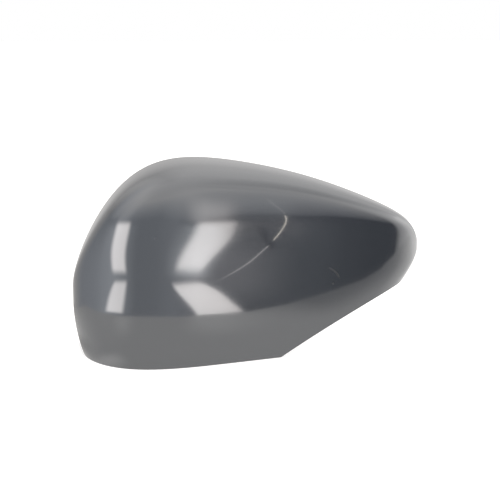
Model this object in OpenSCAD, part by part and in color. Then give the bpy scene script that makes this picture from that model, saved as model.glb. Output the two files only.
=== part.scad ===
// Wing mirror cover: one moulded shell, open at the back and underneath.
// X runs along the cover from its outboard end to its tip, -Y faces the front, +Z is up.
// The origin is under the middle of the cover, at the level of its bottom rim.

/* [Overall size] */
// Length from the outboard end to the tip
cover_len = 225; // [200:1:250]
// Height of the crown over the bottom rim
cover_h = 123; // [112:0.5:135]
// Depth from the front of the skin to the rear rim
cover_depth = 64.5; // [58:0.5:72]
// Wall thickness
wall = 2.4; // [2:0.1:3]

/* [Waist line, where the skin is upright] */
// Waist height at the outboard end
waist_out = 35.5; // [30:0.5:40]
// Pull on the waist height along the middle
waist_mid = 12; // [5:0.5:20]
// Waist height at the tip
waist_tip = 64.5; // [58:0.5:70]

/* [Crown over the waist line] */
// Fullness at the outboard end
crown_1 = 80; // [70:1:90]
// Fullness at a fifth of the length
crown_2 = 154.5; // [146:0.5:162]
// Fullness at two fifths of the length
crown_3 = 58.5; // [50:0.5:68]
// Fullness at three fifths of the length
crown_4 = 106.5; // [98:0.5:114]
// Fullness at four fifths of the length
crown_5 = 58.5; // [50:0.5:66]
// Fullness at the tip
crown_6 = 57; // [50:1:64]

/* [Underside below the waist line] */
// Fullness at the outboard end
under_1 = 101; // [94:1:106]
// Fullness at a third of the length
under_2 = 79; // [70:1:86]
// Fullness at two thirds of the length
under_3 = 60; // [53:1:67]
// Fullness at the tip
under_4 = 42.5; // [36:0.5:48]

/* [Bow of the front in plan] */
// Fullness at the outboard end
bow_1 = 98.5; // [90:0.5:106]
// Fullness at a quarter of the length
bow_2 = 86; // [78:1:94]
// Fullness at the middle
bow_3 = 21.5; // [15:0.5:28]
// Fullness at three quarters of the length
bow_4 = 44.5; // [38:0.5:50]
// Fullness at the tip
bow_5 = 18; // [14:1:26]
// Squareness of the section, 0 for an ellipse
square = 0.1; // [0:0.01:0.11]
// How far behind the rear rim the crown would turn level
rim_back = 10.5; // [6:0.5:14]

/* [Cut-out under the tip] */
// Where the bottom rim ends and the cut starts
notch_x = 22.5; // [10:0.5:35]
// Angle of the cut over level where it starts
notch_angle = 31; // [28:0.5:33]
// Fall of the cut below a straight line, over its length
notch_bow = 8; // [4:0.5:11]

/* [Snap hooks] */
// Hook width
hook_w = 12; // [8:0.5:16]
// Hook thickness
hook_t = 2; // [1.5:0.1:2.5]
// Length of a hook's tongue
hook_len = 13; // [10:0.5:16]
// Height of the barb
barb = 1.6; // [1:0.1:2]
// How far a hook's tongue stands off the wall
hook_gap = 4; // [3:0.1:6]
// Distance of the hook ends inside the rear rim
hook_in = 1.5; // [0.5:0.1:4]

/* [Locating pegs] */
// Peg radius
peg_r = 2.5; // [2:0.1:3]
// Peg length out of its boss
peg_len = 10; // [6:0.5:12]
// Boss radius
boss_r = 4.5; // [4:0.1:6]
// Boss length
boss_len = 8; // [6:0.5:12]

/* [Ribs] */
// Rib thickness
rib_t = 1.6; // [1.2:0.1:2]
// Rib height over the inner face
rib_h = 5; // [3:0.5:7]

/* [Hidden] */
cover_grey = [0.36, 0.37, 0.38];
rim_y = cover_depth / 2;
mid = wall / 2;

// Places of the hooks, pegs and ribs
out_x = -cover_len / 2;
tip_x = cover_len / 2;
crown_hooks = [out_x + 50.5, -8, tip_x - 66.5];
end_hooks = [30, 74];
front_hooks = [[out_x + 54.5, 9], [-12, 9], [tip_x - 22.5, 62]];
hook_start = 60;
reach = 60;
peg_a = [out_x + 32.5, 88];
peg_b = [tip_x - 42.5, 62];
rib_places = [-36, 18];
rib_root = 0.3;
rib_low = -14;
rib_high = 62;
rib_n = 14;

// Facets round the skin and along its four stretches
round_n = 36;
end_n = 8;
front_n = 32;
cut_n = 18;
tip_n = 7;
peg_n = 48;

// Fine steps that the stations are picked from, and how they crowd at the corners
fine_n = 60;
crowding = 3;
end_u = 0.0005;

waist_pts = [waist_out, waist_mid, waist_tip];
crown_pts = [crown_1, crown_2, crown_3, crown_4, crown_5, crown_6];
under_pts = [under_1, under_2, under_3, under_4];
bow_pts = [bow_1, bow_2, bow_3, bow_4, bow_5];

// A curve pulled by its points: t runs from 0 to 1
function curve(a, t) = len(a) == 1 ? a[0]
    : curve([for (i = [0:len(a) - 2]) a[i] * (1 - t) + a[i + 1] * t], t);

// Round-off towards both ends
function ends(p) = 2 * sqrt(max(0, p * (1 - p)));

// The section's two shape functions of the angle f, level at 0 and upright at 90
function level_of(f) = (cos(f) - square * cos(3 * f)) / (1 - square);
function up_of(f) = (sin(f) + square * sin(3 * f)) / (1 - square);

// Angle at which level_of comes down to v
function angle_of(v, lo = 0, hi = 90, n = 26) = n == 0 ? (lo + hi) / 2
    : level_of((lo + hi) / 2) > v ? angle_of(v, (lo + hi) / 2, hi, n - 1)
    : angle_of(v, lo, (lo + hi) / 2, n - 1);

// Scales that bring the drawn curves to the stated depth and height
steps = [for (i = [1:79]) i / 80];
ky = cover_depth / max([for (p = steps) ends(p) * curve(bow_pts, p)]);
function back_of(p) = rim_back * pow(ends(p), 2);
function rear_angle(p, off) = let (
        q = at(p, off),
        b = back_of(p),
        d = ends(p) * (ky * curve(bow_pts, q) - off)
    ) angle_of(b / (d + b));
kz = cover_h / max([for (p = steps) curve(waist_pts, p)
    + ends(p) * curve(crown_pts, p) * up_of(rear_angle(p, 0))]);

// Share of the length at station p of the skin that lies off inside the outer one
function at(p, off) = (off + (cover_len - 2 * off) * p) / cover_len;
function x_of(p, off) = (at(p, off) - 0.5) * cover_len;

// Point of the skin that lies off inside the outer one
function skin(p, f, off) = let (
        q = at(p, off),
        c = ends(p),
        b = back_of(p),
        d = c * (ky * curve(bow_pts, q) - off),
        h = c * (kz * curve(f > 0 ? crown_pts : under_pts, q) - off)
    ) [x_of(p, off), rim_y + b - (d + b) * level_of(f), kz * curve(waist_pts, q) + h * up_of(f)];

// Level of the bottom rim and of the cut at x
cut_len = cover_len / 2 - notch_x;
function floor_of(x) = let (d = x - notch_x)
    d < 0 ? 0 : d * tan(notch_angle) - notch_bow * pow(d / cut_len, 2);

// Angle at which the skin at station p comes down to the floor
function floor_angle(p, off, lo, hi, n = 26) = n == 0 ? (lo + hi) / 2
    : skin(p, (lo + hi) / 2, off)[2] > floor_of(x_of(p, off))
    ? floor_angle(p, off, lo, (lo + hi) / 2, n - 1)
    : floor_angle(p, off, (lo + hi) / 2, hi, n - 1);
function over_floor(p, off) = skin(p, -rear_angle(p, off), off)[2] - floor_of(x_of(p, off));
function plane_angle(p, off) = let (r = rear_angle(p, off))
    over_floor(p, off) >= -0.000001 ? -r : floor_angle(p, off, -r, 0);

// Station at which the lower rear edge meets the floor
function meet(off, high, low, n = 30) = n == 0 ? (high + low) / 2
    : over_floor((high + low) / 2, off) > 0 ? meet(off, (high + low) / 2, low, n - 1)
    : meet(off, high, (high + low) / 2, n - 1);

end_p = meet(0, 0, 0.15);
tip_p = meet(0, 1, 0.8);
function notch_p(off) = (notch_x + cover_len / 2 - off) / (cover_len - 2 * off);

// The bottom rim is flat on the floor, and past the notch the edge turns square to the skin
function low_angle(p, off) = let (
        t = min(1, max(0, 2 * (p - notch_p(off)) / (tip_p - notch_p(off)))),
        w = t * t * (3 - 2 * t),
        square_angle = rear_angle(p, off) * plane_angle(p, 0) / rear_angle(p, 0)
    ) (1 - w) * plane_angle(p, off) + w * square_angle;

// Stations lie evenly along the lower edge: u is a drawing scale that opens up both ends
function u_of(p) = acos(1 - 2 * p) / 180;
function p_of(u) = (1 - cos(180 * u)) / 2;
function drawn(a, b) = [for (i = [0:fine_n]) a + (b - a) * pow(i / fine_n, crowding)];
function back_to_front(v) = [for (i = [len(v) - 1:-1:0]) v[i]];
function evenly(us, off, n) = let (
        edge = [for (u = us) skin(p_of(u), low_angle(p_of(u), off), off)],
        run = [for (i = 0, s = 0; i < len(us);
            s = s + (i < fine_n ? norm(edge[i + 1] - edge[i]) : 0), i = i + 1) [s, us[i]]]
    ) [for (k = [0:n - 1]) lookup(run[fine_n][0] * k / n, run)];
function stations(off) = let (
        a = u_of(off == 0 ? end_p : meet(off, 0, 0.15)),
        n = u_of(notch_p(off)),
        c = u_of(tip_p),
        us = concat(
            evenly(back_to_front(drawn(a, end_u)), off, end_n),
            evenly(drawn(a, n), off, front_n),
            evenly(back_to_front(drawn(c, n)), off, cut_n),
            evenly(drawn(c, 1 - end_u), off, tip_n))
    ) [for (i = [1:rows]) p_of(us[i])];

rows = end_n + front_n + cut_n + tip_n - 1;
function skin_points(off) = concat(
    [skin(0, 0, off)],
    [for (p = stations(off)) let (lo = low_angle(p, off), hi = rear_angle(p, off))
        for (j = [0:round_n]) skin(p, lo + (hi - lo) * j / round_n, off)],
    [skin(1, 0, off)]);

// Point numbers on one skin: row 0 and the last row are single points
count = 2 + rows * (round_n + 1);
function id(i, j) = i == 0 ? 0 : i > rows ? count - 1 : 1 + (i - 1) * (round_n + 1) + j;
tris = [for (i = [0:rows], j = [0:round_n - 1])
    each [if (i <= rows - 1) [id(i, j), id(i + 1, j + 1), id(i + 1, j)],
        if (i > 0) [id(i, j), id(i, j + 1), id(i + 1, j + 1)]]];
rim_ids = concat([for (i = [0:rows + 1]) id(i, 0)], [for (i = [rows:-1:1]) id(i, round_n)]);
rim_tris = [for (k = [0:len(rim_ids) - 1])
    let (a = rim_ids[k], b = rim_ids[(k + 1) % len(rim_ids)])
    each [[a, b, b + count], [a, b + count, a + count]]];

module shell() {
    polyhedron(
        points = concat(skin_points(0), skin_points(wall)),
        faces = concat(tris, [for (t = tris) [t[0] + count, t[2] + count, t[1] + count]], rim_tris),
        convexity = 6);
}

// Whether a point lies inside the skin that lies off inside the outer one
function inside(v, off) = let (p = (v[0] + cover_len / 2 - off) / (cover_len - 2 * off))
    p <= 0 || p >= 1 ? false
    : let (
        b = back_of(p),
        d = ends(p) * (ky * curve(bow_pts, at(p, off)) - off),
        r = (rim_y + b - v[1]) / (d + b)
    ) r >= 1 ? false
    : let (f = angle_of(max(r, 0))) v[2] < skin(p, f, off)[2] && v[2] > skin(p, -f, off)[2];

// Where a line from v in direction dir meets the middle of the wall
function hit(v, dir, lo = 0, hi = reach, n = 24) = n == 0 ? v + dir * (lo + hi) / 2
    : inside(v + dir * (lo + hi) / 2, mid) ? hit(v, dir, (lo + hi) / 2, hi, n - 1)
    : hit(v, dir, lo, (lo + hi) / 2, n - 1);

// A web from the sheet o - a, o + a, and the same moved by b, to the middle of the wall
module web(o, a, b) {
    dir = cross(a, b) / norm(cross(a, b));
    sheet = [o - a, o + a, o + a + b, o - a + b];
    polyhedron(
        points = concat(sheet, [for (v = sheet) hit(v, dir)]),
        faces = [[0, 1, 2, 3], [7, 6, 5, 4], [0, 4, 5, 1], [1, 5, 6, 2], [2, 6, 7, 3], [3, 7, 4, 0]]);
}

// A tongue along Y with its barb towards dir, from o on the tongue's face
module tongue(o, dir, l) {
    side = cross([0, 1, 0], dir);
    multmatrix([for (k = [0:2]) [[0, 1, 0][k], dir[k], side[k], o[k]]])
        linear_extrude(hook_w, center = true)
            polygon([[0, -hook_t], [l, -hook_t], [l, -hook_t / 2], [l - 2 * barb, barb],
                [l - 2.5 * barb, 0], [0, 0]]);
}

// A snap hook that faces the wall in direction dir, on a web from the point x, z
module snap_hook(x, z, dir) {
    o = hit([x, rim_y - hook_in - hook_len, z], dir) - dir * (mid + hook_gap);
    web(o - dir * hook_t / 2, cross([0, 1, 0], dir) * hook_w / 2, [0, hook_t, 0]);
    tongue(o, dir, hook_len);
}

// A hook that stands on the front wall at x, z, with its barb upwards
module front_hook(x, z) {
    o = hit([x, rim_y - hook_in, z], [0, -1, 0]) + [0, mid + hook_len / 2, 0];
    web(o + [0, 0, hook_t / 2], [-hook_w / 2, 0, 0], [0, 0, -hook_t]);
    translate([0, 0, hook_t / 2]) tongue(o - [0, mid, 0], [0, 0, 1], hook_len / 2 + mid);
}

// A locating peg on a boss: one web goes up to the crown, and one to the end wall or two to the front
module locating_peg(x, z, to_front) {
    o = [x, rim_y - hook_in - peg_len - boss_len, z];
    web(o, [rib_t / 2, 0, 0], [0, boss_len, 0]);
    if (to_front) {
        web(o + [0, 0, boss_r], [-rib_t / 2, 0, 0], [0, 0, -2 * boss_r]);
        web(o + [boss_r, 0, 0], [0, 0, rib_t / 2], [-2 * boss_r, 0, 0]);
    } else {
        web(o, [0, 0, rib_t / 2], [0, boss_len, 0]);
    }
    translate(o) rotate([-90, 0, 0]) {
        cylinder(h = boss_len, r = boss_r, $fn = peg_n);
        cylinder(h = boss_len + peg_len, r = peg_r, $fn = peg_n);
    }
}

// A rib across the inner face at x, from angle f0 to f1, fading out at both ends
module rib(x, f0, f1) {
    rings = [for (i = [0:rib_n]) let (
            f = f0 + (f1 - f0) * i / rib_n,
            low = mid + rib_root + (mid - rib_root + rib_h) * sqrt(sin(180 * i / rib_n))
        ) each [for (k = [[-1, mid], [1, mid], [1, low], [-1, low]])
            let (v = x + k[0] * rib_t / 2) skin((v + cover_len / 2 - k[1]) / (cover_len - 2 * k[1]), f, k[1])]];
    last = 4 * rib_n;
    polyhedron(
        points = rings,
        faces = concat(
            [[0, 1, 2], [0, 2, 3], [last, last + 2, last + 1], [last, last + 3, last + 2]],
            [for (i = [0:rib_n - 1], k = [0:3]) let (a = 4 * i + k, b = 4 * i + (k + 1) % 4)
                each [[a, a + 4, b + 4], [a, b + 4, b]]]),
        convexity = 4);
}

module mirror_cover() {
    color(cover_grey) {
        shell();
        for (x = crown_hooks)
            snap_hook(x, hook_start, [0, 0, 1]);
        for (z = end_hooks)
            snap_hook(out_x + reach, z, [-1, 0, 0]);
        for (v = front_hooks)
            front_hook(v[0], v[1]);
        locating_peg(peg_a[0], peg_a[1], false);
        locating_peg(peg_b[0], peg_b[1], true);
        for (x = rib_places)
            rib(x, rib_low, rib_high);
    }
}

mirror_cover();
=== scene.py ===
import math

import bpy
import numpy as np
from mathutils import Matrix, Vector
from mathutils.bvhtree import BVHTree


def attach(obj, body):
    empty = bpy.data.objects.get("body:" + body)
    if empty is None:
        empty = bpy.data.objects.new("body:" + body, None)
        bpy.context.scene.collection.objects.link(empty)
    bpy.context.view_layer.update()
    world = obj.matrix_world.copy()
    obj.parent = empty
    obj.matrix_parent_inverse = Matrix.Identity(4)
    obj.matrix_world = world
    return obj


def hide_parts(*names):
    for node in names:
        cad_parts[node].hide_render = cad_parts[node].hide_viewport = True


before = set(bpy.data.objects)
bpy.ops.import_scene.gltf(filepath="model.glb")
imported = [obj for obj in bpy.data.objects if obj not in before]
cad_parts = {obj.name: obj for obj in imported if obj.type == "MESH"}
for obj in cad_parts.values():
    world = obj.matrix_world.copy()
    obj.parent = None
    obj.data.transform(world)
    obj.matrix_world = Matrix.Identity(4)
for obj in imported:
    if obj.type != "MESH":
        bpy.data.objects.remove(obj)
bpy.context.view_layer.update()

# The cover's sizes in metres, the same as the frame's solid

COVER_LEN, COVER_H, COVER_DEPTH, WALL = 0.225, 0.123, 0.0645, 0.0024
WAIST = [0.0355, 0.012, 0.0645]
CROWN = [0.080, 0.1545, 0.0585, 0.1065, 0.0585, 0.057]
UNDER = [0.101, 0.079, 0.060, 0.0425]
BOW = [0.0985, 0.086, 0.0215, 0.0445, 0.018]
SQUARE, RIM_BACK = 0.10, 0.0105
NOTCH_X, NOTCH_ANGLE, NOTCH_BOW = 0.0225, math.radians(31), 0.008
RIM_Y, MID = COVER_DEPTH / 2, WALL / 2

HOOK_W, HOOK_T, HOOK_LEN, BARB, HOOK_GAP, HOOK_IN = 0.012, 0.002, 0.013, 0.0016, 0.004, 0.0015
OUT_X, TIP_X = -COVER_LEN / 2, COVER_LEN / 2
CROWN_HOOKS = [OUT_X + 0.0505, -0.008, TIP_X - 0.0665]
END_HOOKS = [0.030, 0.074]
FRONT_HOOKS = [(OUT_X + 0.0545, 0.009), (-0.012, 0.009), (TIP_X - 0.0225, 0.062)]
HOOK_START = REACH = 0.060
PEG_R, PEG_LEN, BOSS_R, BOSS_LEN = 0.0025, 0.010, 0.0045, 0.008
PEG_A, PEG_B = (OUT_X + 0.0325, 0.088), (TIP_X - 0.0425, 0.062)
RIB_T, RIB_H = 0.0016, 0.005
RIB_PLACES = [-0.036, 0.018]
RIB_LOW, RIB_HIGH = math.radians(-14), math.radians(62)

# Rows of the fine mesh: round the outer and the inner skin, and along the four stretches

OUTER_N, INNER_N = 120, 60
END_N, FRONT_N, CUT_N, TIP_N = 36, 150, 84, 30
FINE_N, CROWDING, END_U = 240, 3, 0.0002


# The skin's formula: p runs from 0 at the rounded end to 1 at the tip, f is the angle up from the
# waist, 0 to the front, and off is how far a skin lies inside the outer one


def curve(points, t):
    """The curve pulled by its points, t from 0 to 1."""
    values = [v + 0 * t for v in points]
    while len(values) > 1:
        values = [a * (1 - t) + b * t for a, b in zip(values, values[1:])]
    return values[0]


def ends(p):
    """How full the section is: 0 at both ends, 1 in the middle."""
    return 2 * np.sqrt(np.maximum(0, p * (1 - p)))


def level_of(f):
    """The section's depth at angle f, as a share; SQUARE makes it squarer than an ellipse."""
    return (np.cos(f) - SQUARE * np.cos(3 * f)) / (1 - SQUARE)


def up_of(f):
    """The section's rise at angle f, as a share."""
    return (np.sin(f) + SQUARE * np.sin(3 * f)) / (1 - SQUARE)


def bisect(test, low, high, n=40):
    """Where test turns false, going from low to high."""
    for _ in range(n):
        middle = (low + high) / 2
        good = test(middle)
        low, high = np.where(good, middle, low), np.where(good, high, middle)
    return (low + high) / 2


def angle_of(v):
    """The angle at which level_of gives v."""
    return bisect(lambda f: level_of(f) > v, 0 * v, 0 * v + math.pi / 2)


def back_of(p):
    """How far the section's axis lies behind the back rim."""
    return RIM_BACK * ends(p) ** 2


def at(p, off):
    """Place along the whole cover, 0 to 1, of station p on the skin at off."""
    return (off + (COVER_LEN - 2 * off) * p) / COVER_LEN


def x_of(p, off):
    return (at(p, off) - 0.5) * COVER_LEN


def p_at(x, off):
    return (x + COVER_LEN / 2 - off) / (COVER_LEN - 2 * off)


STEPS = np.arange(1, 80) / 80
DEPTH_SCALE = COVER_DEPTH / np.max(ends(STEPS) * curve(BOW, STEPS))


def depth_of(p, off):
    """The section's depth in front of the back rim."""
    return ends(p) * (DEPTH_SCALE * curve(BOW, at(p, off)) - off)


def rear_angle(p, off):
    """The angle at which the section reaches the back rim."""
    return angle_of(back_of(p) / (depth_of(p, off) + back_of(p)))


HEIGHT_SCALE = COVER_H / np.max(
    curve(WAIST, STEPS) + ends(STEPS) * curve(CROWN, STEPS) * up_of(rear_angle(STEPS, 0)))


def skin(p, f, off):
    """Points of the skin that lies off inside the outer one, at stations p and angles f."""
    q = at(p, off)
    full = np.where(f > 0, curve(CROWN, q), curve(UNDER, q))
    y = RIM_Y + back_of(p) - (depth_of(p, off) + back_of(p)) * level_of(f)
    z = HEIGHT_SCALE * curve(WAIST, q) + ends(p) * (HEIGHT_SCALE * full - off) * up_of(f)
    return np.stack(np.broadcast_arrays(x_of(p, off), y, z), -1)


def floor_of(x):
    """Level of the bottom rim and of the cut under the tip."""
    d = np.maximum(0, x - NOTCH_X)
    return d * math.tan(NOTCH_ANGLE) - NOTCH_BOW * (d / (COVER_LEN / 2 - NOTCH_X)) ** 2


def over_floor(p, off):
    """How high the section's lower rear end is over the bottom rim or the cut."""
    return skin(p, -rear_angle(p, off), off)[..., 2] - floor_of(x_of(p, off))


def plane_angle(p, off):
    """The angle of the lower edge where the bottom rim or the cut ends the section."""
    rear = rear_angle(p, off)
    cut = bisect(lambda f: skin(p, f, off)[..., 2] < floor_of(x_of(p, off)), -rear, 0 * rear)
    return np.where(over_floor(p, off) >= -1e-9, -rear, cut)


def meet(off, high, low):
    """The station, from high to low, at which the section comes down to the bottom rim or the cut."""
    return float(bisect(lambda p: over_floor(p, off) > 0, np.array(high), np.array(low)))


END_P, TIP_P = meet(0, 0.0, 0.15), meet(0, 1.0, 0.8)


def low_angle(p, off):
    """Flat on the floor up to the notch, and past it square to the skin."""
    notch = p_at(NOTCH_X, off)
    t = np.clip(2 * (p - notch) / (TIP_P - notch), 0, 1)
    w = t * t * (3 - 2 * t)
    square = rear_angle(p, off) * plane_angle(p, 0) / rear_angle(p, 0)
    return (1 - w) * plane_angle(p, off) + w * square


def p_of(u):
    return (1 - np.cos(math.pi * u)) / 2


def u_of(p):
    return math.acos(1 - 2 * p) / math.pi


def evenly(a, b, off, n):
    """Stations from a, where they crowd, to b, even along the lower edge."""
    us = a + (b - a) * np.linspace(0, 1, FINE_N) ** CROWDING
    p = p_of(us)
    edge = skin(p, low_angle(p, off), off)
    run = np.concatenate([[0], np.cumsum(np.linalg.norm(np.diff(edge, axis=0), axis=1))])
    return np.interp(np.linspace(0, run[-1], n + 1), run, us)


def stations(off):
    """Stations of all rows: the rounded end, the front, the cut and the tip."""
    a, n, c = u_of(meet(off, 0.0, 0.15)), u_of(p_at(NOTCH_X, off)), u_of(TIP_P)
    us = np.concatenate([
        evenly(a, END_U, off, END_N)[::-1][1:],
        evenly(a, n, off, FRONT_N)[1:],
        evenly(c, n, off, CUT_N)[::-1][1:],
        evenly(c, 1 - END_U, off, TIP_N)[1:-1]])
    return p_of(us)


def skin_rows(off, n):
    """A skin's two end points and its grid of points, lower edge first."""
    p = stations(off)
    low, high = low_angle(p, off), rear_angle(p, off)
    t = np.linspace(0, 1, n + 1)[None]
    f = low[:, None] * (1 - t) + high[:, None] * t
    tips = skin(np.array([0.0, 1.0]), np.array([0.0, 0.0]), off)
    return tips, skin(p[:, None] + 0 * f, f, off)


# Mesh of the shell and of what stands on its inner face


class Build:
    """Collects points and faces, each face with a material number."""

    def __init__(self):
        self.points, self.faces, self.kinds = [], [], []

    def add(self, points, faces, kind):
        start = len(self.points)
        self.points += [tuple(map(float, v)) for v in points]
        self.faces += [tuple(start + i for i in face) for face in faces]
        self.kinds += [kind] * len(faces)
        return start


OUTSIDE, INSIDE = 0, 1


def add_skin(build, off, n, kind, flip):
    """One skin as a grid between two end points; returns the point numbers of its whole edge."""
    tips, grid = skin_rows(off, n)
    rows = len(grid)
    points = [tips[0], *grid.reshape(-1, 3), tips[1]]

    def number(i, j):
        return 0 if i < 0 else len(points) - 1 if i >= rows else 1 + i * (n + 1) + j

    faces = []
    for i in range(-1, rows):
        for j in range(n):
            face = [number(i, j), number(i + 1, j), number(i + 1, j + 1), number(i, j + 1)]
            face = list(dict.fromkeys(face))
            faces.append(face[::-1] if flip else face)
    start = build.add(points, faces, kind)
    low = [number(i, 0) for i in range(-1, rows + 1)]
    high = [number(i, n) for i in range(rows - 1, -1, -1)]
    return [start + i for i in low + high]


def add_shell(build):
    outer = add_skin(build, 0, OUTER_N, OUTSIDE, False)
    inner = add_skin(build, WALL, INNER_N, INSIDE, True)
    for k in range(len(outer)):
        a, b = k, (k + 1) % len(outer)
        build.faces.append((outer[b], outer[a], inner[a], inner[b]))
        build.kinds.append(INSIDE)


def inside(v, off):
    """Whether a point lies inside the skin that lies off inside the outer one."""
    p = np.array(p_at(v[0], off))
    if p <= 0 or p >= 1:
        return False
    r = (RIM_Y + back_of(p) - v[1]) / (depth_of(p, off) + back_of(p))
    if r >= 1:
        return False
    f = angle_of(np.maximum(r, 0))
    return skin(p, -f, off)[2] < v[2] < skin(p, f, off)[2]


def hit(v, way, reach=REACH):
    """Where a line from v meets the middle of the wall."""
    v, way = np.array(v, float), np.array(way, float)
    t = bisect(lambda d: inside(v + way * d, MID), np.array(0.0), np.array(reach), 30)
    return v + way * t


def add_web(build, o, a, b):
    """A web from the sheet o - a, o + a, and the same moved by b, to the middle of the wall."""
    o, a, b = (np.array(v, float) for v in (o, a, b))
    way = np.cross(a, b)
    way /= np.linalg.norm(way)
    sheet = [o - a, o + a, o + a + b, o - a + b]
    faces = [(3, 2, 1, 0), (4, 5, 6, 7), (1, 5, 4, 0), (2, 6, 5, 1), (3, 7, 6, 2), (0, 4, 7, 3)]
    build.add(sheet + [hit(v, way) for v in sheet], faces, INSIDE)


def add_tongue(build, o, way, length):
    """A tongue along Y with its barb towards way."""
    way = np.array(way, float)
    side = np.cross([0, 1, 0], way) * HOOK_W / 2
    profile = [(0, -HOOK_T), (length, -HOOK_T), (length, -HOOK_T / 2), (length - 2 * BARB, BARB),
               (length - 2.5 * BARB, 0), (0, 0)]
    ring = [np.array(o) + np.array([0, y, 0]) + way * n for y, n in profile]
    count = len(ring)
    faces = [tuple(range(count))[::-1], tuple(range(count, 2 * count))]
    faces += [(i, (i + 1) % count, count + (i + 1) % count, count + i) for i in range(count)]
    build.add([v - side for v in ring] + [v + side for v in ring], faces, INSIDE)


def add_snap_hook(build, x, z, way):
    way = np.array(way, float)
    o = hit([x, RIM_Y - HOOK_IN - HOOK_LEN, z], way) - way * (MID + HOOK_GAP)
    add_web(build, o - way * HOOK_T / 2, np.cross([0, 1, 0], way) * HOOK_W / 2, [0, HOOK_T, 0])
    add_tongue(build, o, way, HOOK_LEN)


def add_front_hook(build, x, z):
    o = hit([x, RIM_Y - HOOK_IN, z], [0, -1, 0]) + np.array([0, MID + HOOK_LEN / 2, 0])
    add_web(build, o + [0, 0, HOOK_T / 2], [-HOOK_W / 2, 0, 0], [0, 0, -HOOK_T])
    add_tongue(build, o + [0, -MID, HOOK_T / 2], [0, 0, 1], HOOK_LEN / 2 + MID)


def add_cylinder(build, o, length, r, n=48):
    """A cylinder along Y with a small edge round at its free end."""
    edge = 0.0003
    rings = [(0, r), (length - edge, r), (length - edge * 0.3, r - edge * 0.3), (length, r - edge)]
    angles = [2 * math.pi * k / n for k in range(n)]
    points = [(o[0] + s * math.cos(a), o[1] + y, o[2] + s * math.sin(a)) for y, s in rings for a in angles]
    last = len(rings) - 1
    faces = [(i * n + k, (i + 1) * n + k, (i + 1) * n + (k + 1) % n, i * n + (k + 1) % n)
             for i in range(last) for k in range(n)]
    faces += [tuple(range(n)), tuple(last * n + k for k in range(n))[::-1]]
    build.add(points, faces, INSIDE)


def add_locating_peg(build, place, to_front):
    o = np.array([place[0], RIM_Y - HOOK_IN - PEG_LEN - BOSS_LEN, place[1]])
    add_web(build, o, [RIB_T / 2, 0, 0], [0, BOSS_LEN, 0])
    if to_front:
        add_web(build, o + [0, 0, BOSS_R], [-RIB_T / 2, 0, 0], [0, 0, -2 * BOSS_R])
        add_web(build, o + [BOSS_R, 0, 0], [0, 0, RIB_T / 2], [-2 * BOSS_R, 0, 0])
    else:
        add_web(build, o, [0, 0, RIB_T / 2], [0, BOSS_LEN, 0])
    add_cylinder(build, o, BOSS_LEN, BOSS_R)
    add_cylinder(build, o, BOSS_LEN + PEG_LEN, PEG_R)


def add_rib(build, x, n=56):
    """A rib across the inner face, fading out at both ends."""
    root = 0.0003
    points = []
    for i in range(n + 1):
        f = RIB_LOW + (RIB_HIGH - RIB_LOW) * i / n
        low = MID + root + (MID - root + RIB_H) * math.sqrt(abs(math.sin(math.pi * i / n)))
        for side, off in ((-1, MID), (1, MID), (1, low), (-1, low)):
            points.append(skin(np.array(p_at(x + side * RIB_T / 2, off)), np.array(f), off))
    faces = [(4 * i + k, 4 * i + (k + 1) % 4, 4 * i + 4 + (k + 1) % 4, 4 * i + 4 + k)
             for i in range(n) for k in range(4)]
    faces += [(3, 2, 1, 0), (4 * n, 4 * n + 1, 4 * n + 2, 4 * n + 3)]
    build.add(points, faces, INSIDE)


# Helpers for materials


def make_material(name):
    material = bpy.data.materials.new(name)
    material.use_nodes = True
    return material, material.node_tree.nodes, material.node_tree.links


def noise(nodes, links, coords, scale, detail=2.0, roughness=0.5):
    node = nodes.new("ShaderNodeTexNoise")
    node.inputs["Scale"].default_value = scale
    node.inputs["Detail"].default_value = detail
    node.inputs["Roughness"].default_value = roughness
    links.new(coords, node.inputs["Vector"])
    return node.outputs["Fac"]


def map_range(nodes, links, value, low, high, to_low, to_high, kind="LINEAR"):
    node = nodes.new("ShaderNodeMapRange")
    node.interpolation_type = kind
    for name, number in (("From Min", low), ("From Max", high), ("To Min", to_low), ("To Max", to_high)):
        node.inputs[name].default_value = number
    links.new(value, node.inputs["Value"])
    return node.outputs["Result"]


def bump(nodes, links, height, strength, distance, normal=None):
    node = nodes.new("ShaderNodeBump")
    node.inputs["Strength"].default_value = strength
    node.inputs["Distance"].default_value = distance
    links.new(height, node.inputs["Height"])
    if normal:
        links.new(normal, node.inputs["Normal"])
    return node.outputs["Normal"]


def math_node(nodes, links, operation, *values):
    node = nodes.new("ShaderNodeMath")
    node.operation = operation
    for i, value in enumerate(values):
        if isinstance(value, (int, float)):
            node.inputs[i].default_value = value
        else:
            links.new(value, node.inputs[i])
    return node.outputs[0]


def ease(nodes, links, value, low, high, to_low=0.0, to_high=1.0):
    """A smooth step as the value goes from low to high; low may be the greater one."""
    return map_range(nodes, links, value, low, high, to_low, to_high, "SMOOTHSTEP")


def distance_from(nodes, links, coords, point):
    """Distance from a point, in metres."""
    node = nodes.new("ShaderNodeVectorMath")
    node.operation = "DISTANCE"
    links.new(coords, node.inputs[0])
    node.inputs[1].default_value = point
    return node.outputs["Value"]


# Finish: colours, gloss, and the places and sizes of the marks in it, in metres

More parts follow.
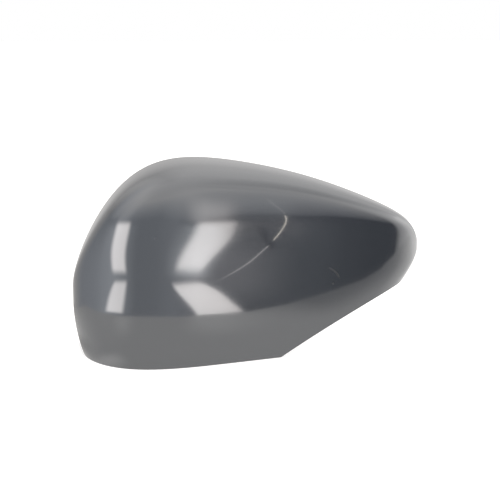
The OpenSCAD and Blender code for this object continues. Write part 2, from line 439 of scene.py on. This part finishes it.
PRIMER = (0.036, 0.041, 0.049, 1)
SCUFF = (0.062, 0.064, 0.067, 1)
PLASTIC = (0.050, 0.053, 0.058, 1)
BASE_IOR, COAT_IOR, COAT_ROUGHNESS = 1.85, 1.5, 0.04
GLOSS_ROUGHNESS, SATIN_ROUGHNESS = (0.075, 0.10), (0.42, 0.55)
HAZE_RANGE, GRAIN_RANGE = (0.8, 1.3), (0.3, 0.7)
WIPE_TURN, WIPE_STRETCH = math.radians(12), (1, 6, 14)
WIPE_SCALE, HAZE_SCALE, PEEL_SCALE, GRAIN_SCALE = 60, 26, 420, 900
WIPE_BUMP, PEEL_BUMP, GRAIN_BUMP, BUMP_DEPTH = 0.003, 0.008, 0.15, 0.0002
ARC_MIDDLE, ARC_R, ARC_FADE = (0.0463, 0.0033, 0.0433), 0.015, (0.0009, 0.0001)
ARC_NEAR, ARC_REACH = (0.057, 0.0035, 0.0536), 0.0068
DOTS = [
    ((0.0558, 0.0031, 0.0461), 0.0012),
    ((-0.056, -0.0302, 0.0837), 0.0007),
    ((-0.0813, -0.0197, 0.093), 0.0006)]
SHARP = math.radians(35)


def gloss_primer():
    """Smooth glossy grey primer, with faint orange peel, wiping marks, haze, a scuffed arc and specks."""
    material, nodes, links = make_material("grey_primer_gloss")
    shader = nodes["Principled BSDF"]
    coords = nodes.new("ShaderNodeTexCoord").outputs["Object"]
    shader.inputs["IOR"].default_value = BASE_IOR
    shader.inputs["Coat Weight"].default_value = 1.0
    shader.inputs["Coat IOR"].default_value = COAT_IOR
    shader.inputs["Coat Roughness"].default_value = COAT_ROUGHNESS
    wipes = nodes.new("ShaderNodeMapping")
    wipes.inputs["Rotation"].default_value = (0, WIPE_TURN, 0)
    wipes.inputs["Scale"].default_value = WIPE_STRETCH
    links.new(coords, wipes.inputs["Vector"])
    marks = noise(nodes, links, wipes.outputs[0], WIPE_SCALE, 5, 0.65)
    haze = noise(nodes, links, coords, HAZE_SCALE, 4, 0.6)
    blend = math_node(nodes, links, "ADD", marks, haze)
    rough = map_range(nodes, links, blend, *HAZE_RANGE, *GLOSS_ROUGHNESS)
    links.new(rough, shader.inputs["Roughness"])
    ring = math_node(nodes, links, "SUBTRACT", distance_from(nodes, links, coords, ARC_MIDDLE), ARC_R)
    ring = ease(nodes, links, math_node(nodes, links, "ABSOLUTE", ring), *ARC_FADE)
    near = ease(nodes, links, distance_from(nodes, links, coords, ARC_NEAR), ARC_REACH, ARC_REACH / 2)
    scuff = math_node(nodes, links, "MULTIPLY", ring, near)
    for middle, r in DOTS:
        dot = ease(nodes, links, distance_from(nodes, links, coords, middle), r, r / 3)
        scuff = math_node(nodes, links, "MAXIMUM", dot, scuff)
    paint = nodes.new("ShaderNodeMix")
    paint.data_type = "RGBA"
    paint.inputs["A"].default_value, paint.inputs["B"].default_value = PRIMER, SCUFF
    links.new(scuff, paint.inputs["Factor"])
    links.new(paint.outputs["Result"], shader.inputs["Base Color"])
    peel = noise(nodes, links, coords, PEEL_SCALE, 1)
    normal = bump(nodes, links, peel, PEEL_BUMP, BUMP_DEPTH)
    normal = bump(nodes, links, marks, WIPE_BUMP, BUMP_DEPTH, normal)
    links.new(normal, shader.inputs["Normal"])
    links.new(normal, shader.inputs["Coat Normal"])
    return material


def satin_plastic():
    """The moulding's inner face and rim: the same plastic, unpainted and satin."""
    material, nodes, links = make_material("grey_plastic_satin")
    shader = nodes["Principled BSDF"]
    coords = nodes.new("ShaderNodeTexCoord").outputs["Object"]
    shader.inputs["Base Color"].default_value = PLASTIC
    grain = noise(nodes, links, coords, GRAIN_SCALE, 2)
    rough = map_range(nodes, links, grain, *GRAIN_RANGE, *SATIN_ROUGHNESS)
    links.new(rough, shader.inputs["Roughness"])
    links.new(bump(nodes, links, grain, GRAIN_BUMP, BUMP_DEPTH), shader.inputs["Normal"])
    return material


def make_cover():
    build = Build()
    add_shell(build)
    for x in CROWN_HOOKS:
        add_snap_hook(build, x, HOOK_START, [0, 0, 1])
    for z in END_HOOKS:
        add_snap_hook(build, OUT_X + REACH, z, [-1, 0, 0])
    for x, z in FRONT_HOOKS:
        add_front_hook(build, x, z)
    add_locating_peg(build, PEG_A, False)
    add_locating_peg(build, PEG_B, True)
    for x in RIB_PLACES:
        add_rib(build, x)
    mesh = bpy.data.meshes.new("mirror_cover_skin")
    mesh.from_pydata(build.points, [], build.faces)
    mesh.materials.append(gloss_primer())
    mesh.materials.append(satin_plastic())
    mesh.polygons.foreach_set("material_index", build.kinds)
    mesh.polygons.foreach_set("use_smooth", [True] * len(build.faces))
    mesh.set_sharp_from_angle(angle=SHARP)
    mesh.update()
    outside = [face for face, kind in zip(build.faces, build.kinds) if kind == OUTSIDE]
    cover = bpy.data.objects.new("mirror_cover_skin", mesh)
    bpy.context.collection.objects.link(cover)
    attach(cover, "root")
    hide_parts("mirror_cover")
    return BVHTree.FromPolygons(build.points, outside)


skin_tree = make_cover()

# Camera: from the front and a little above, as in the photograph

CAMERA_TARGET = np.array([0.0, -0.011, 0.060])
CAMERA_AWAY = 1.1
CAMERA_UP, CAMERA_ROUND = math.radians(14.5), math.radians(-0.7)
PIXELS_PER_MM = 1.592
FRAME_PX, SENSOR_MM = 500, 36
TARGET_PX = (245.9, 268.2)

LOOK = np.array([
    -math.sin(CAMERA_ROUND) * math.cos(CAMERA_UP),
    math.cos(CAMERA_ROUND) * math.cos(CAMERA_UP),
    -math.sin(CAMERA_UP)])
RIGHT = np.array([math.cos(CAMERA_ROUND), math.sin(CAMERA_ROUND), 0.0])
CAMERA_PLACE = CAMERA_TARGET - LOOK * CAMERA_AWAY


def make_camera():
    data = bpy.data.cameras.new("camera")
    data.sensor_width = SENSOR_MM
    data.lens = PIXELS_PER_MM * 1000 * CAMERA_AWAY / FRAME_PX * SENSOR_MM
    data.shift_x = (FRAME_PX / 2 - TARGET_PX[0]) / FRAME_PX
    data.shift_y = (TARGET_PX[1] - FRAME_PX / 2) / FRAME_PX
    camera = bpy.data.objects.new("camera", data)
    bpy.context.collection.objects.link(camera)
    camera.location = Vector(CAMERA_PLACE)
    camera.rotation_euler = Vector(LOOK).to_track_quat("-Z", "Y").to_euler()
    bpy.context.scene.camera = camera


def normal_at(v):
    """The skin's outward normal at a point on it."""
    p = np.array(p_at(v[0], 0))
    level = (RIM_Y + back_of(p) - v[1]) / (depth_of(p, 0) + back_of(p))
    f = angle_of(np.clip(level, 0, 1)) * (1 if v[2] > HEIGHT_SCALE * curve(WAIST, p) else -1)
    step = 0.0005
    along = skin(p + step, f, 0) - skin(p - step, f, 0)
    up = skin(p, f + step, 0) - skin(p, f - step, 0)
    n = np.cross(along, up)
    return n / np.linalg.norm(n)


def mirror_ray(pixel):
    """The skin's point at a pixel of the photograph, and the way in which it mirrors the camera."""
    right, down = ((pixel[i] - TARGET_PX[i]) / (PIXELS_PER_MM * 1000) for i in (0, 1))
    way = LOOK * CAMERA_AWAY + RIGHT * right - np.cross(RIGHT, LOOK) * down
    way /= np.linalg.norm(way)
    v = np.array(skin_tree.ray_cast(Vector(CAMERA_PLACE), Vector(way))[0])
    n = normal_at(v)
    return v, way - 2 * way.dot(n) * n


def mirrored(pixel, away):
    """The point in the room that the skin mirrors at a pixel of the photograph."""
    v, way = mirror_ray(pixel)
    return v + away * way


def on_table(pixel):
    """The place on the table that the skin mirrors at a pixel of the photograph."""
    v, way = mirror_ray(pixel)
    return tuple((v - way * v[2] / way[2])[:2])


# Floor: white to the camera, with the cover's shadow

FLOOR_HALF = 1.6
FLOOR_COLOR = (0.82, 0.80, 0.78, 1)
SEEN_GLOW = 0.5

# Sheet: what the skin mirrors of the table, painted as a glowing sheet that only reflections see

# Its front edge is at pixels of the photograph, its far corners are in metres. Its glow is dimmed or
# raised over ranges of x and y, and at spots with a middle, a radius and a brightness
SHEET_LINE = [(84, 305), (98, 311.5), (120, 316), (180, 317), (204, 314.5), (240, 313),
              (284, 305), (332, 290.5), (364, 279), (380, 269), (393, 256)]
SHEET_STEPS = 80
SHEET_BACK = [(1.6, -0.103), (1.6, 1.3), (-0.1, 1.3), (-0.12, 0.14), (-0.16, 0.10), (-0.187, 0.08)]
SHEET_GLOW_COLOR = (1.0, 0.985, 0.965, 1)
SHEET_GLOW = 1.08
LEFT_X, LEFT_Y, DIM_LEFT = (-0.08, -0.12), (-0.05, 0.11), 0.75
EDGE_X, EDGE_END_X, EDGE_Y, DIM_EDGE = (0.07, 0.13), (0.42, 0.22), (-0.035, -0.107), 0.60
RIGHT_X, RIGHT_ACROSS, BRIGHT_RIGHT = (0.10, 0.18), (-0.085, 0.02), 1.8
ACROSS_X, ACROSS_SLOPE = 0.3, 0.35
# Painted light and shadow on the mirrored table: the first three spots are painted pools of light, and the
# last, with a negative brightness, is the cover's own shadow painted into the glow
SHEET_SPOTS = [
    ((-0.094, -0.03, 0), 0.022, 0.45),
    ((0.04, -0.10, 0), 0.05, 0.28),
    ((-0.15, -0.11, 0), 0.06, 0.30),
    ((-0.10, 0.02, 0), 0.045, -0.50)]


def flat_piece(name, corners, material):
    mesh = bpy.data.meshes.new(name)
    mesh.from_pydata([(x, y, 0) for x, y in corners], [], [tuple(range(len(corners)))])
    mesh.materials.append(material)
    piece = bpy.data.objects.new(name, mesh)
    bpy.context.collection.objects.link(piece)
    return piece


def make_floor():
    material, nodes, links = make_material("floor_white")
    shader = nodes["Principled BSDF"]
    shader.inputs["Base Color"].default_value = FLOOR_COLOR
    shader.inputs["Roughness"].default_value = 0.9
    shader.inputs["Emission Color"].default_value = (1, 1, 1, 1)
    seen = nodes.new("ShaderNodeLightPath").outputs["Is Camera Ray"]
    links.new(math_node(nodes, links, "MULTIPLY", seen, SEEN_GLOW), shader.inputs["Emission Strength"])
    r = FLOOR_HALF
    floor = flat_piece("floor", [(-r, -r), (r, -r), (r, r), (-r, r)], material)
    floor.visible_glossy = False


def make_sheet():
    """The mirrored table as a painted reflection: dimmer at its left and at its front edge, brighter to
    the right, with painted pools of light and the cover's painted shadow.
    """
    material, nodes, links = make_material("table_reflection_glow")
    nodes.remove(nodes["Principled BSDF"])
    split = nodes.new("ShaderNodeSeparateXYZ")
    place = nodes.new("ShaderNodeTexCoord").outputs["Object"]
    links.new(place, split.inputs[0])
    x, y = split.outputs[0], split.outputs[1]
    left = math_node(nodes, links, "MULTIPLY", ease(nodes, links, x, *LEFT_X),
                     map_range(nodes, links, y, *LEFT_Y, 0, DIM_LEFT))
    edge = math_node(nodes, links, "MULTIPLY", ease(nodes, links, x, *EDGE_X),
                     ease(nodes, links, y, *EDGE_Y, 0, DIM_EDGE))
    edge = math_node(nodes, links, "MULTIPLY", edge, ease(nodes, links, x, *EDGE_END_X))
    past = math_node(nodes, links, "SUBTRACT", x, ACROSS_X)
    across = math_node(nodes, links, "MULTIPLY_ADD", past, ACROSS_SLOPE, y)
    right = math_node(nodes, links, "MULTIPLY", ease(nodes, links, x, *RIGHT_X),
                      map_range(nodes, links, across, *RIGHT_ACROSS, 0, BRIGHT_RIGHT))
    total = math_node(nodes, links, "SUBTRACT", SHEET_GLOW, math_node(nodes, links, "ADD", left, edge))
    for middle, radius, bright in SHEET_SPOTS:
        away = distance_from(nodes, links, place, middle)
        total = math_node(nodes, links, "ADD", ease(nodes, links, away, radius, 0, 0, bright), total)
    glow = nodes.new("ShaderNodeEmission")
    glow.inputs["Color"].default_value = SHEET_GLOW_COLOR
    links.new(math_node(nodes, links, "ADD", total, right), glow.inputs["Strength"])
    links.new(glow.outputs[0], nodes["Material Output"].inputs["Surface"])
    across_px, down_px = zip(*SHEET_LINE)
    steps = np.linspace(across_px[0], across_px[-1], SHEET_STEPS)
    front = [on_table(pixel) for pixel in zip(steps, np.interp(steps, across_px, down_px))]
    sheet = flat_piece("sheet", front + SHEET_BACK, material)
    sheet.visible_camera = False
    sheet.visible_diffuse = False
    sheet.visible_shadow = False


# Room

# By compass angle, 0 to the front and 90 to the tip's side: brightness of the wall, level in degrees
# at which it starts to turn into the ceiling, how late it turns, and brightness of the ceiling. Towards
# the zenith all the ceilings become one. The room is bluest to the front left

ROOM = [
    (-180, 0.76, 24, 1.00, 1.30),
    (-165, 0.55, 24, 1.00, 1.12),
    (-156, 0.38, 4, 0.95, 1.20),
    (-140, 0.38, 14, 0.95, 1.42),
    (-128, 0.42, 16, 0.82, 1.52),
    (-118, 0.53, 20, 0.60, 1.57),
    (-100, 0.76, 26, 0.55, 1.65),
    (-82, 1.05, 24, 0.50, 1.65),
    (-65, 1.10, 25, 0.70, 1.60),
    (-45, 0.75, 27, 1.00, 1.45),
    (-20, 0.60, 22, 1.00, 1.40),
    (5, 0.62, 19, 1.00, 1.45),
    (22, 0.75, 11, 0.70, 1.55),
    (32, 0.55, 5, 0.45, 1.60),
    (38, 0.20, 7, 0.45, 1.60),
    (42, 0.10, 9, 0.60, 1.60),
    (50, 0.04, 9, 0.65, 1.55),
    (61.3, 0.02, 5, 0.65, 1.50),
    (62.3, 1.00, 14, 0.60, 1.35),
    (66, 1.45, 20, 0.45, 1.30),
    (75, 2.60, 22, 0.40, 1.40),
    (90, 3.00, 33, 0.40, 1.10),
    (115, 2.30, 34, 0.40, 1.15),
    (145, 1.10, 30, 1.00, 1.40),
    (180, 0.76, 24, 1.00, 1.30)]
ROOM_MOST, START_MOST = 4.0, 60
CEILING_FULL = math.radians(55)
ZENITH, ZENITH_FROM, ZENITH_FULL = 1.45, math.radians(56), math.radians(80)
TINT_FROM, TINT_FULL = -0.2, 0.4
WALL_COLOR, CEILING_COLOR = (0.945, 0.985, 1.055, 1), (1.0, 0.985, 0.975, 1)


def make_world():
    """A plain room with walls by compass angle and a soft ceiling, and white to the camera."""
    world = bpy.data.worlds.new("studio")
    bpy.context.scene.world = world
    world.use_nodes = True
    nodes, links = world.node_tree.nodes, world.node_tree.links
    nodes.clear()
    split = nodes.new("ShaderNodeSeparateXYZ")
    links.new(nodes.new("ShaderNodeTexCoord").outputs["Generated"], split.inputs[0])
    x, y, z = split.outputs
    compass = math_node(nodes, links, "ARCTAN2", x, math_node(nodes, links, "MULTIPLY", y, -1))
    level = math_node(nodes, links, "ARCSINE", z)
    ramp = nodes.new("ShaderNodeValToRGB")
    links.new(map_range(nodes, links, compass, -math.pi, math.pi, 0, 1), ramp.inputs[0])
    stops = ramp.color_ramp.elements
    while len(stops) < len(ROOM):
        stops.new(0.5)
    for stop, row in zip(stops, ROOM):
        stop.position = (row[0] + 180) / 360
    for stop, (_, wall, start, late, ceiling) in zip(stops, ROOM):
        stop.color = (wall / ROOM_MOST, start / START_MOST, ceiling / ROOM_MOST, late)
    parts = nodes.new("ShaderNodeSeparateColor")
    links.new(ramp.outputs["Color"], parts.inputs[0])
    wall = math_node(nodes, links, "MULTIPLY", parts.outputs[0], ROOM_MOST)
    start = math_node(nodes, links, "MULTIPLY", parts.outputs[1], math.radians(START_MOST))
    ceiling = math_node(nodes, links, "MULTIPLY", parts.outputs[2], ROOM_MOST)
    rise = nodes.new("ShaderNodeMapRange")
    links.new(level, rise.inputs["Value"])
    links.new(start, rise.inputs["From Min"])
    rise.inputs["From Max"].default_value = CEILING_FULL
    share = math_node(nodes, links, "POWER", rise.outputs["Result"], ramp.outputs["Alpha"])
    above = math_node(nodes, links, "SUBTRACT", ceiling, wall)
    total = math_node(nodes, links, "MULTIPLY_ADD", above, share, wall)
    top = ease(nodes, links, level, ZENITH_FROM, ZENITH_FULL)
    to_zenith = math_node(nodes, links, "SUBTRACT", ZENITH, total)
    total = math_node(nodes, links, "MULTIPLY_ADD", to_zenith, top, total)
    room = nodes.new("ShaderNodeBackground")
    tint = nodes.new("ShaderNodeMix")
    tint.data_type = "RGBA"
    warm = ease(nodes, links, math_node(nodes, links, "ADD", x, y), TINT_FROM, TINT_FULL)
    links.new(math_node(nodes, links, "MAXIMUM", share, warm), tint.inputs["Factor"])
    tint.inputs["A"].default_value, tint.inputs["B"].default_value = WALL_COLOR, CEILING_COLOR
    links.new(tint.outputs["Result"], room.inputs["Color"])
    links.new(total, room.inputs["Strength"])
    white = nodes.new("ShaderNodeBackground")
    white.inputs["Color"].default_value = (1, 1, 1, 1)
    mix = nodes.new("ShaderNodeMixShader")
    links.new(nodes.new("ShaderNodeLightPath").outputs["Is Camera Ray"], mix.inputs[0])
    links.new(room.outputs[0], mix.inputs[1])
    links.new(white.outputs[0], mix.inputs[2])
    links.new(mix.outputs[0], nodes.new("ShaderNodeOutputWorld").inputs["Surface"])


# Glowing panels in the room

# Each stands where the skin mirrors it at these pixels of the photograph, listed down its left edge and
# down its right edge, or along a thin line

BOX_COLOR = (1.0, 0.945, 0.92, 1)
HALO_COLOR = (0.92, 0.97, 1.0, 1)
GLOW_COLOR = (1.0, 0.965, 0.985, 1)
CABLE_GLOW_COLOR = (1.0, 0.92, 0.80, 1)
LEFT_TOP = ([(118, 222), (113.3, 240), (111.5, 256), (113, 273)],
            [(130.5, 222), (127, 240), (125, 257), (126.5, 273)])
LEFT_LOW = ([(115, 282), (109.5, 295), (106, 311)],
            [(126, 282), (125, 295), (122.5, 314)])
FRONT_TOP = ([(198.5, 221.5), (194, 232), (190.3, 240), (184, 250), (179.7, 260), (177, 271)],
             [(236.5, 221), (234.5, 231.5), (229, 240), (221, 250), (210.5, 260), (198.5, 274)])
FRONT_LOW = ([(172.5, 284), (177.4, 292), (184.6, 300), (191.5, 308), (198.5, 317.5)],
             [(199, 282), (212, 287), (222, 293.5), (232, 301), (244.5, 311.5)])
LEFT_HALO = ([(116, 226), (111, 256), (110, 290), (106, 311)],
             [(131, 226), (126, 256), (126, 290), (123, 313)])
FRONT_HALO = ([(191, 224), (183.5, 240), (178, 256), (179, 278)],
              [(219, 224), (225, 240), (215, 257), (203, 278)])
FRONT_HIGH = ([(194, 203), (196, 222)], [(236, 203), (232, 222)])
WALL_GLOW = ([(190, 244), (190, 304)], [(270, 244), (270, 298)])
WALL_SHADE = ([(254, 226), (263, 241), (268, 248)], [(261, 224), (270.5, 240), (275, 246)])
CEILING_GLOW = ([(238, 199), (238, 219)], [(292, 201), (292, 219)])
# The cable lines are a painted highlight: glowing strips for the mirrored glint of a lit cable, which is
# no lamp
CABLE_GLOW_TOP = [(284.9, 215.5), (286.4, 219), (285.3, 222.5), (283.5, 227.5),
             (280.1, 232.5), (276.4, 237), (273.4, 240)]
CABLE_GLOW_LOW = [(268, 246), (263.5, 251), (256.5, 256.5), (248.7, 262),
             (240, 268.5), (233, 273), (218, 281)]
CABLE_GLOW_END = [(268, 199), (272, 203), (280, 209), (285, 214.5)]


def strip(line, width):
    """The two sides of a thin line."""
    return [(x - width / 2, y) for x, y in line], [(x + width / 2, y) for x, y in line]


# Name, sides, glow, share of the room's light that it holds back, colour, softness in pixels at the
# left, right, top and bottom, and distance from the skin in metres
PANELS = [
    ("left_box_top", LEFT_TOP, 3.3, 0, BOX_COLOR, (5, 5, 6, 8), 0.05),
    ("left_box_low", LEFT_LOW, 3.0, 0, BOX_COLOR, (5, 5, 8, 3), 0.05),
    ("front_box_top", FRONT_TOP, 3.3, 0, BOX_COLOR, (11, 4, 5, 7), 0.8),
    ("front_box_low", FRONT_LOW, 3.7, 0, BOX_COLOR, (4, 5, 6, 2), 0.22),
    ("left_halo", LEFT_HALO, 0.5, 0, HALO_COLOR, (24, 26, 8, 6), 0.06),
    ("front_halo", FRONT_HALO, 1.3, 0, HALO_COLOR, (34, 22, 8, 6), 0.8),
    ("front_halo_low", FRONT_LOW, 0.5, 0, HALO_COLOR, (6, 26, 12, 4), 0.22),
    ("front_halo_high", FRONT_HIGH, 1.25, 0, BOX_COLOR, (26, 24, 22, 6), 0.8),
    ("wall_glow", WALL_GLOW, 0.52, 0, GLOW_COLOR, (30, 70, 40, 50), 0.3),
    ("ceiling_glow", CEILING_GLOW, 0.2, 0, HALO_COLOR, (20, 24, 10, 6), 0.3),
    ("wall_shade", WALL_SHADE, 0, 0.5, HALO_COLOR, (4, 4, 6, 4), 0.06),
    # the three cable strips glow as the painted highlight of a lit cable
    ("cable_glow_top", strip(CABLE_GLOW_TOP, 1), 5.2, 0, CABLE_GLOW_COLOR, (0.8, 0.8, 1, 1), 0.05),
    ("cable_glow_low", strip(CABLE_GLOW_LOW, 1.6), 1.9, 0, BOX_COLOR, (1.2, 1.2, 1, 12), 0.05),
    ("cable_glow_end", strip(CABLE_GLOW_END, 1.5), 0.6, 0, BOX_COLOR, (1.2, 1.2, 8, 1), 0.05)]


def soften(sides, soft):
    """A panel's edges moved out by half of each softness, and each softness as a share of the panel."""
    left, right = (np.array(side, float) for side in sides)
    wide = np.mean(right[:, 0]) - np.mean(left[:, 0]) + (soft[0] + soft[1]) / 2
    tall = left[-1, 1] - left[0, 1] + (soft[2] + soft[3]) / 2
    left[:, 0] -= soft[0] / 2
    right[:, 0] += soft[1] / 2
    for side in (left, right):
        for end, near, move in ((0, 1, soft[2] / 2), (-1, -2, soft[3] / 2)):
            way = side[end] - side[near]
            side[end] += way * move / abs(way[1])
    return left, right, [soft[0] / wide, soft[1] / wide, soft[2] / tall, soft[3] / tall]


def smooth(side, t):
    """Points of a smooth line through an edge's points, t from 0 to 1."""
    at_points = np.linspace(0, 1, len(side))
    fits = [np.polyfit(at_points, side[:, k], min(3, len(side) - 1)) for k in (0, 1)]
    return np.stack([np.polyval(fit, t) for fit in fits], 1)


def panel_glow(name, glow, shade, color, fades):
    """A clear material that glows and shades, fading towards the panel's four edges."""
    material, nodes, links = make_material(name)
    nodes.remove(nodes["Principled BSDF"])
    split = nodes.new("ShaderNodeSeparateXYZ")
    links.new(nodes.new("ShaderNodeTexCoord").outputs["UV"], split.inputs[0])
    u, v = split.outputs[0], split.outputs[1]
    profile = 1
    from_right, from_bottom = (math_node(nodes, links, "SUBTRACT", 1, value) for value in (u, v))
    for value, fade in zip((u, from_right, v, from_bottom), fades):
        profile = math_node(nodes, links, "MULTIPLY", ease(nodes, links, value, 0, fade), profile)
    light = nodes.new("ShaderNodeEmission")
    light.inputs["Color"].default_value = color
    links.new(math_node(nodes, links, "MULTIPLY", profile, glow), light.inputs["Strength"])
    through = nodes.new("ShaderNodeBsdfTransparent")
    links.new(map_range(nodes, links, profile, 0, 1, 1, 1 - shade), through.inputs["Color"])
    both = nodes.new("ShaderNodeAddShader")
    links.new(light.outputs[0], both.inputs[0])
    links.new(through.outputs[0], both.inputs[1])
    links.new(both.outputs[0], nodes["Material Output"].inputs["Surface"])
    return material


def make_panel(name, sides, glow, shade, color, soft, away, columns=20, rows=28):
    """A panel that adds its glow to the room behind it, or holds back a share of the room's light."""
    left, right, fades = soften(sides, soft)
    t = np.linspace(0, 1, rows + 1)
    left, right = smooth(left, t), smooth(right, t)
    share = np.linspace(0, 1, columns + 1)
    points = [tuple(mirrored(a * (1 - u) + b * u, away)) for a, b in zip(left, right) for u in share]
    wide = columns + 1
    faces = [(i * wide + k, i * wide + k + 1, (i + 1) * wide + k + 1, (i + 1) * wide + k)
             for i in range(rows) for k in range(columns)]
    mesh = bpy.data.meshes.new(name)
    mesh.from_pydata(points, [], faces)
    place = mesh.uv_layers.new(name="place")
    for loop in mesh.loops:
        i, k = divmod(loop.vertex_index, wide)
        place.data[loop.index].uv = (k / columns, i / rows)
    panel = bpy.data.objects.new(name, mesh)
    bpy.context.collection.objects.link(panel)
    panel.visible_camera = False
    panel.visible_shadow = False
    panel.visible_diffuse = False
    mesh.materials.append(panel_glow(name, glow, shade, color, fades))


make_camera()
make_floor()
make_sheet()
make_world()
for panel in PANELS:
    make_panel(*panel)
bpy.context.scene.view_settings.view_transform = "Standard"
